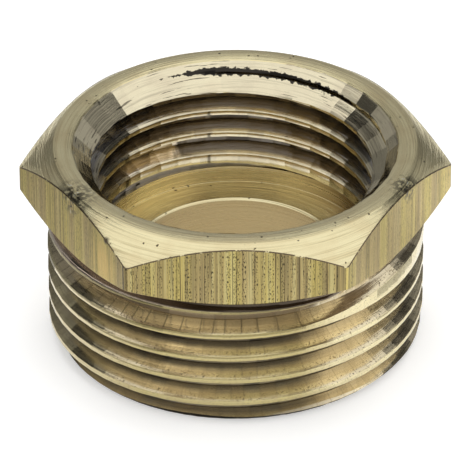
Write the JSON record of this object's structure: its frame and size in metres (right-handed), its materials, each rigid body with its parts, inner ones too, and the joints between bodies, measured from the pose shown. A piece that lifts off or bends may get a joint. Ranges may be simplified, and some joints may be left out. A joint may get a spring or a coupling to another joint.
{
  "type": "hex reducing bushing",
  "caption": "Short hexagon-headed reducing bushing with an outside pipe thread below the head, a smaller inside pipe thread open at the top, and a stepped bore through it.",
  "frame": {"origin": "on the axis at the lower, threaded end face, which the part stands on", "axes": "+Z along the axis, from the threaded end up to the socket mouth; two corners of the hexagon lie on X and two flats face +Y and -Y"},
  "size_m": [0.03, 0.0262, 0.0145],
  "materials": {
    "brass": "bare machined brass: drawn hexagon flats with fine lengthwise streaks and pits, turned faces, cones and threads as cut, unplated and unpolished"
  },
  "bodies": {
    "root": {"hex_bushing": "brass"}
  },
  "joints": []
}
